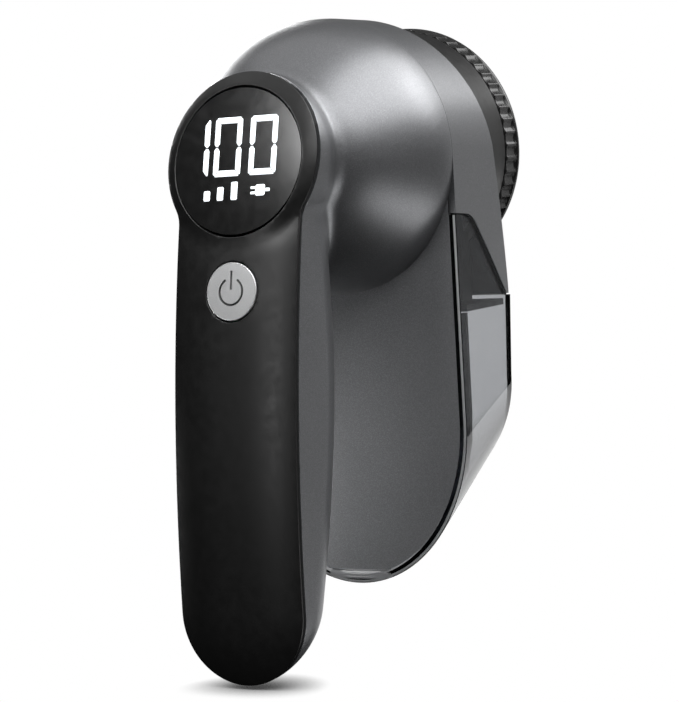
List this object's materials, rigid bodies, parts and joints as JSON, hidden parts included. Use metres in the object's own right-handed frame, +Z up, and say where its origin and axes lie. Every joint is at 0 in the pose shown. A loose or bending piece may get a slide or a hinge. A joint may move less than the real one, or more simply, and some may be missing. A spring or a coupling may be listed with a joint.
{
  "type": "fabric shaver",
  "caption": "Hand-held fabric shaver: a round perforated foil in a twist ring, a domed head, a see-through lint bin below and an upright handle with a display and a power button.",
  "frame": {"origin": "centre of the foil's front face, on the cutter axis", "axes": "+Z up along the handle with the head at the top, -Y out of the foil towards the fabric, +X to the right seen from the foil side"},
  "size_m": [0.072, 0.1031, 0.1637],
  "materials": {
    "grey_shell": "satin metallic, fine sparkle",
    "gloss_black": "gloss",
    "satin_black": "satin",
    "black_plastic": "matte",
    "foil_steel": "fine radial brush",
    "blade_steel": "ground",
    "white_plastic": "satin",
    "steel_can": "zinc plated",
    "magnet": "sintered",
    "copper": "enamelled winding",
    "bronze": "sintered",
    "screw_steel": "plated",
    "red_plastic": "satin",
    "smoky_clear": "smoky transparent, polished",
    "lens_black": "polished",
    "circuit_board": "solder mask",
    "silver_button": "satin",
    "battery_wrap": "shrink wrap",
    "wire_red": "wire insulation"
  },
  "bodies": {
    "body": {"head_shell": "grey_shell", "rear_shell": "grey_shell", "front_cover": "gloss_black", "chamber": "black_plastic", "motor_can": "steel_can", "motor_magnets": "magnet", "motor_end_cap": "white_plastic", "motor_bushings": "bronze", "motor_terminals": "bronze", "motor_screws": "screw_steel", "chamber_screws": "screw_steel", "dome_screws": "screw_steel", "safety_switch": "black_plastic", "handle_plate": "satin_black", "display_lens": "lens_black", "display_module": "black_plastic", "display_board": "circuit_board", "tact_switch": "black_plastic", "main_board": "circuit_board", "board_screws": "screw_steel", "battery": "battery_wrap", "battery_wires": "wire_red", "motor_wires": "wire_red", "charge_socket": "screw_steel"},
    "twist_ring": {"foil_ring": "gloss_black", "foil": "foil_steel", "foil_clip": "black_plastic"},
    "cutter": {"cutter_disc": "white_plastic", "cutter_blades": "blade_steel", "motor_shaft": "blade_steel", "motor_armature": "copper"},
    "lint_bin": {"bin_shell": "smoky_clear", "bin_back": "black_plastic"},
    "button": {"power_button": "silver_button", "switch_stem": "black_plastic"},
    "pin": {"safety_pin": "red_plastic"}
  },
  "joints": [
    {"name": "ring_twist", "type": "hinge", "parent": "body", "child": "twist_ring", "pos_m": [0, 0, 0], "axis": [0, 1, 0], "range_deg": [0, 25]},
    {"name": "cutter_spin", "type": "hinge", "parent": "body", "child": "cutter", "pos_m": [0, 0, 0], "axis": [0, 1, 0], "continuous": true},
    {"name": "bin_slide", "type": "slide", "parent": "body", "child": "lint_bin", "axis": [0, 0, -1], "range_m": [0, 0.1]},
    {"name": "button_press", "type": "slide", "parent": "body", "child": "button", "axis": [0, -0.9843, -0.1766], "range_m": [0, 0.0005], "stiffness_N_per_m": 300},
    {"name": "pin_slide", "type": "slide", "parent": "body", "child": "pin", "axis": [0, -1, 0], "range_m": [0, 0.00065]}
  ],
  "couplings": [
    {"joint": "pin_slide", "follows": "ring_twist", "m_per_rad": 0.001375}
  ]
}
